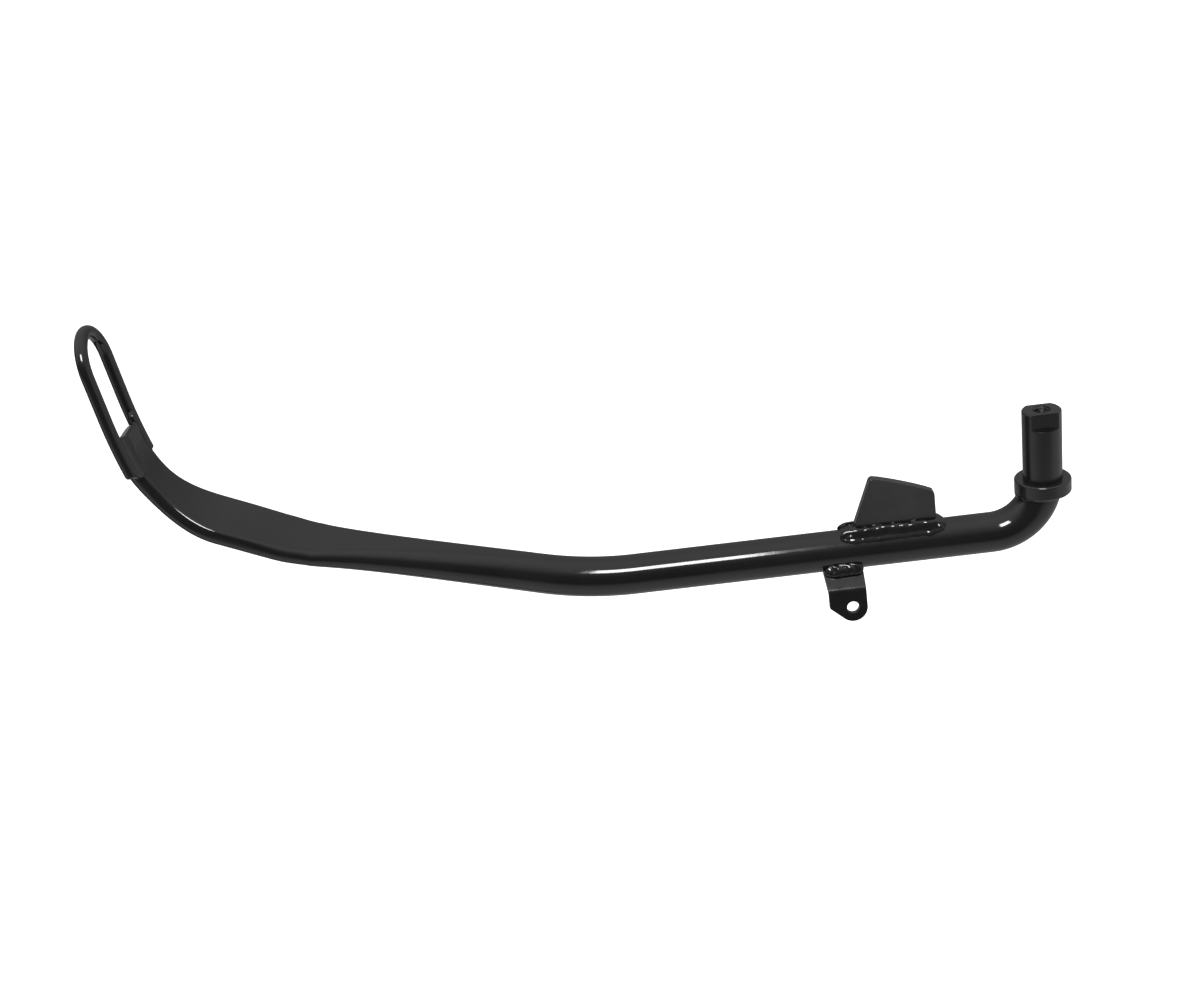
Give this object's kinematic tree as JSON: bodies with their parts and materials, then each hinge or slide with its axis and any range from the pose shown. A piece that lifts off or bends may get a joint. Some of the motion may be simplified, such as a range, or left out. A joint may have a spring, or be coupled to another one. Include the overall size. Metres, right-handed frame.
{
  "type": "motorcycle side stand leg",
  "caption": "Bent side stand leg: round bar flattened to a blade, turned pivot post with collar, welded stop plate, spring tab and toe loop.",
  "frame": {"origin": "on the pivot post's axis, at the thrust collar's upper face", "axes": "+Z along the pivot post towards its free end; the leg runs towards -X and lies in the plane y = 0; the spring tab is on the -Y side"},
  "size_m": [0.4378, 0.0392, 0.1826],
  "materials": {
    "leg_paint": "gloss",
    "post_paint": "gloss",
    "plate_paint": "gloss",
    "weld_paint": "gloss"
  },
  "bodies": {
    "root": {"leg_bar": "leg_paint", "pivot_post": "post_paint", "thrust_collar": "post_paint", "collar_weld": "weld_paint", "stop_plate": "plate_paint", "stop_plate_weld_near": "weld_paint", "stop_plate_weld_far": "weld_paint", "stop_plate_weld_foot_end": "weld_paint", "stop_plate_weld_post_end": "weld_paint", "spring_tab": "plate_paint", "spring_tab_weld_top": "weld_paint", "spring_tab_weld_under": "weld_paint", "toe_loop": "leg_paint", "toe_loop_weld_near": "weld_paint", "toe_loop_weld_far": "weld_paint"}
  },
  "joints": []
}
